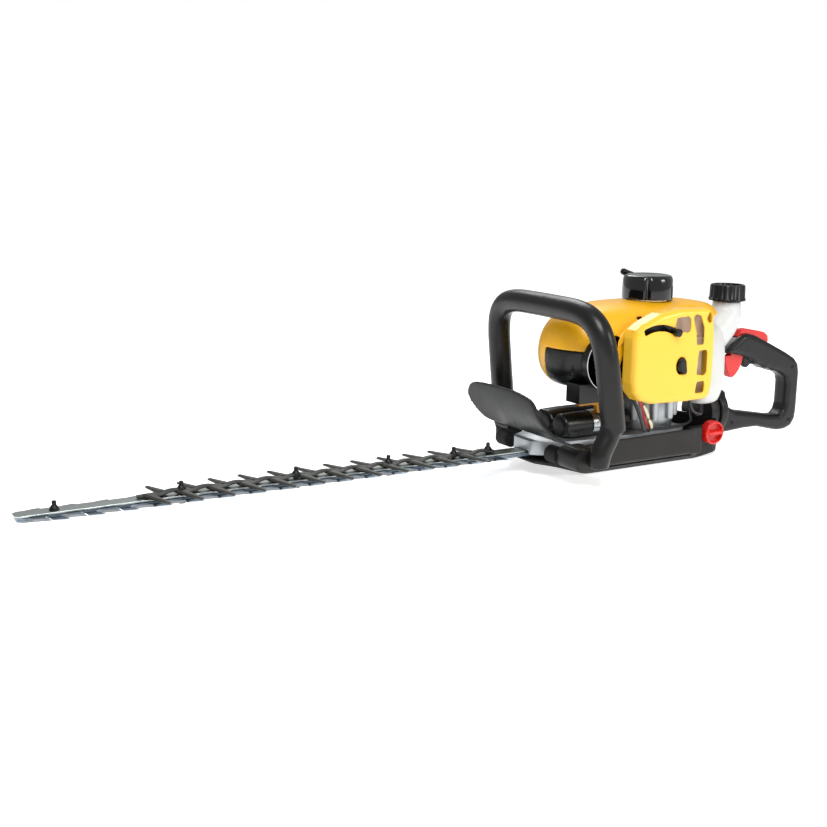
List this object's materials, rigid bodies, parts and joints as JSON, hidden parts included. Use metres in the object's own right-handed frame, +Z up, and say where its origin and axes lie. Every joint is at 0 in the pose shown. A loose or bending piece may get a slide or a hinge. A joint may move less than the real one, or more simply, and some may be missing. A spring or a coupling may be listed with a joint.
{
  "type": "hedge trimmer",
  "caption": "Petrol hedge trimmer with a two-sided cutter bar, comb guard, looped front handle, swivelling rear handle, white fuel tank and yellow engine covers.",
  "frame": {"origin": "on the underside of the base, straight below the crankshaft", "axes": "-X runs along the blades to their tip and +X to the rear handle, -Y is the machine's left side, +Z is up"},
  "size_m": [1.078, 0.255, 0.2421],
  "materials": {
    "yellow_abs": "moulded, satin gloss",
    "black_nylon": "glass-filled nylon, fine grain",
    "gloss_black": "polished moulding",
    "red_abs": "moulded, satin gloss",
    "tank_poly": "blow-moulded translucent polythene",
    "blade_steel": "ground blade steel",
    "cast_aluminium": "as cast",
    "rubber": "moulded",
    "foam": "open-cell foam",
    "ceramic": "glazed insulator",
    "muffler_steel": "heat-tinted pressed steel",
    "drive_steel": "machined, oiled",
    "bolt_steel": "blackened steel"
  },
  "bodies": {
    "root": {"air_cleaner_cover": "yellow_abs", "air_filter": "foam", "base_frame": "black_nylon", "blade_bolt_1": "bolt_steel", "blade_bolt_2": "bolt_steel", "blade_bolt_3": "bolt_steel", "blade_bolt_4": "bolt_steel", "blade_bolt_5": "bolt_steel", "blade_bolt_6": "bolt_steel", "carburettor": "cast_aluminium", "case_cowl": "black_nylon", "clutch_housing": "cast_aluminium", "comb_guard": "black_nylon", "crankcase": "cast_aluminium", "cylinder": "cast_aluminium", "cylinder_cover_lower": "black_nylon", "damper_left": "rubber", "damper_right": "rubber", "engine_shroud": "yellow_abs", "front_handle": "black_nylon", "fuel_hose": "tank_poly", "fuel_tank": "tank_poly", "gear_case_cover": "cast_aluminium", "gear_case_lower": "cast_aluminium", "guide_bar": "blade_steel", "hand_shield": "black_nylon", "handle_block_left": "black_nylon", "handle_block_right": "black_nylon", "ignition_coil": "black_nylon", "intake_block": "black_nylon", "muffler": "muffler_steel", "muffler_guard": "black_nylon", "plug_boot": "rubber", "spark_plug": "ceramic", "starter_dome": "gloss_black", "stop_wire": "red_abs", "swivel_mount": "black_nylon", "throttle_cable": "black_nylon"},
    "upper_blade": {"upper_blade": "blade_steel"},
    "lower_blade": {"lower_blade": "blade_steel"},
    "crank": {"lower_crank_half": "drive_steel", "upper_crank_half": "drive_steel", "flywheel": "cast_aluminium"},
    "drum": {"clutch_drum": "drive_steel"},
    "cam": {"cam_gear": "drive_steel"},
    "upper_rod": {"upper_con_rod": "drive_steel"},
    "lower_rod": {"lower_con_rod": "drive_steel"},
    "piston_set": {"piston": "cast_aluminium", "connecting_rod": "drive_steel"},
    "choke": {"choke_lever": "black_nylon"},
    "filter_knob": {"cover_knob": "black_nylon"},
    "cap": {"fuel_cap": "black_nylon"},
    "starter_reel": {"starter_pulley": "black_nylon"},
    "starter_handle": {"starter_grip": "black_nylon"},
    "rear_handle": {"rear_handle_left": "black_nylon", "rear_handle_right": "black_nylon"},
    "trigger": {"throttle_trigger": "red_abs"},
    "lockout": {"throttle_lockout": "red_abs"},
    "stop_button": {"stop_switch": "red_abs"},
    "lock_knob": {"swivel_lock_knob": "red_abs"}
  },
  "joints": [
    {"name": "upper_blade_slide", "type": "slide", "parent": "root", "child": "upper_blade", "axis": [1, 0, 0], "range_m": [-0.00875, 0.00875]},
    {"name": "lower_blade_slide", "type": "slide", "parent": "root", "child": "lower_blade", "axis": [1, 0, 0], "range_m": [-0.00875, 0.00875]},
    {"name": "crank_spin", "type": "hinge", "parent": "root", "child": "crank", "pos_m": [0, 0, 0.148], "axis": [0, 0, 1], "continuous": true},
    {"name": "drum_spin", "type": "hinge", "parent": "root", "child": "drum", "pos_m": [0, 0, 0.06], "axis": [0, 0, 1], "continuous": true},
    {"name": "cam_spin", "type": "hinge", "parent": "root", "child": "cam", "pos_m": [-0.05, 0, 0.034], "axis": [0, 0, 1], "continuous": true},
    {"name": "upper_rod_turn", "type": "hinge", "parent": "cam", "child": "upper_rod", "pos_m": [-0.05875, 0, 0.029], "axis": [0, 0, 1], "continuous": true},
    {"name": "lower_rod_turn", "type": "hinge", "parent": "cam", "child": "lower_rod", "pos_m": [-0.04125, 0, 0.02], "axis": [0, 0, 1], "continuous": true},
    {"name": "piston_slide", "type": "slide", "parent": "root", "child": "piston_set", "axis": [1, 0, 0], "range_m": [-0.014, 0.014]},
    {"name": "choke_turn", "type": "hinge", "parent": "root", "child": "choke", "pos_m": [-0.056, -0.084, 0.129], "axis": [0, -1, 0], "range_deg": [0, 45]},
    {"name": "filter_knob_turn", "type": "hinge", "parent": "root", "child": "filter_knob", "pos_m": [-0.018, -0.085, 0.133], "axis": [0, -1, 0], "continuous": true},
    {"name": "fuel_cap_turn", "type": "hinge", "parent": "root", "child": "cap", "pos_m": [0.141, 0, 0.205], "axis": [0, 0, 1], "continuous": true},
    {"name": "starter_reel_turn", "type": "hinge", "parent": "root", "child": "starter_reel", "pos_m": [0, 0, 0.219], "axis": [0, 0, 1], "range_deg": [0, 1600]},
    {"name": "starter_pull", "type": "slide", "parent": "root", "child": "starter_handle", "axis": [0, 0.9404, 0.3401], "range_m": [0, 0.5], "stiffness_N_per_m": 8, "springref_m": -0.5},
    {"name": "handle_swivel", "type": "hinge", "parent": "root", "child": "rear_handle", "pos_m": [0.12, 0, 0.05], "axis": [1, 0, 0], "range_deg": [-90, 90]},
    {"name": "trigger_squeeze", "type": "hinge", "parent": "rear_handle", "child": "trigger", "pos_m": [0.163, 0, 0.13], "axis": [0, -1, 0], "range_deg": [0, 14], "stiffness_Nm_per_rad": 0.3, "springref_deg": -17.19},
    {"name": "lockout_press", "type": "hinge", "parent": "rear_handle", "child": "lockout", "pos_m": [0.169, 0, 0.147], "axis": [0, 1, 0], "range_deg": [0, 6], "stiffness_Nm_per_rad": 0.3, "springref_deg": -17.19},
    {"name": "stop_switch_slide", "type": "slide", "parent": "rear_handle", "child": "stop_button", "axis": [1, 0, 0], "range_m": [0, 0.005]},
    {"name": "lock_knob_turn", "type": "hinge", "parent": "root", "child": "lock_knob", "pos_m": [0.075, -0.055, 0.034], "axis": [0, -1, 0], "range_deg": [0, 90]}
  ],
  "couplings": [
    {"joint": "lower_blade_slide", "follows": "upper_blade_slide", "ratio": -1},
    {"joint": "drum_spin", "follows": "crank_spin", "ratio": 1},
    {"joint": "cam_spin", "follows": "crank_spin", "ratio": -0.25},
    {"joint": "upper_rod_turn", "follows": "crank_spin", "ratio": 0.25},
    {"joint": "lower_rod_turn", "follows": "crank_spin", "ratio": 0.25},
    {"joint": "starter_reel_turn", "follows": "starter_pull", "rad_per_m": 55.56}
  ]
}
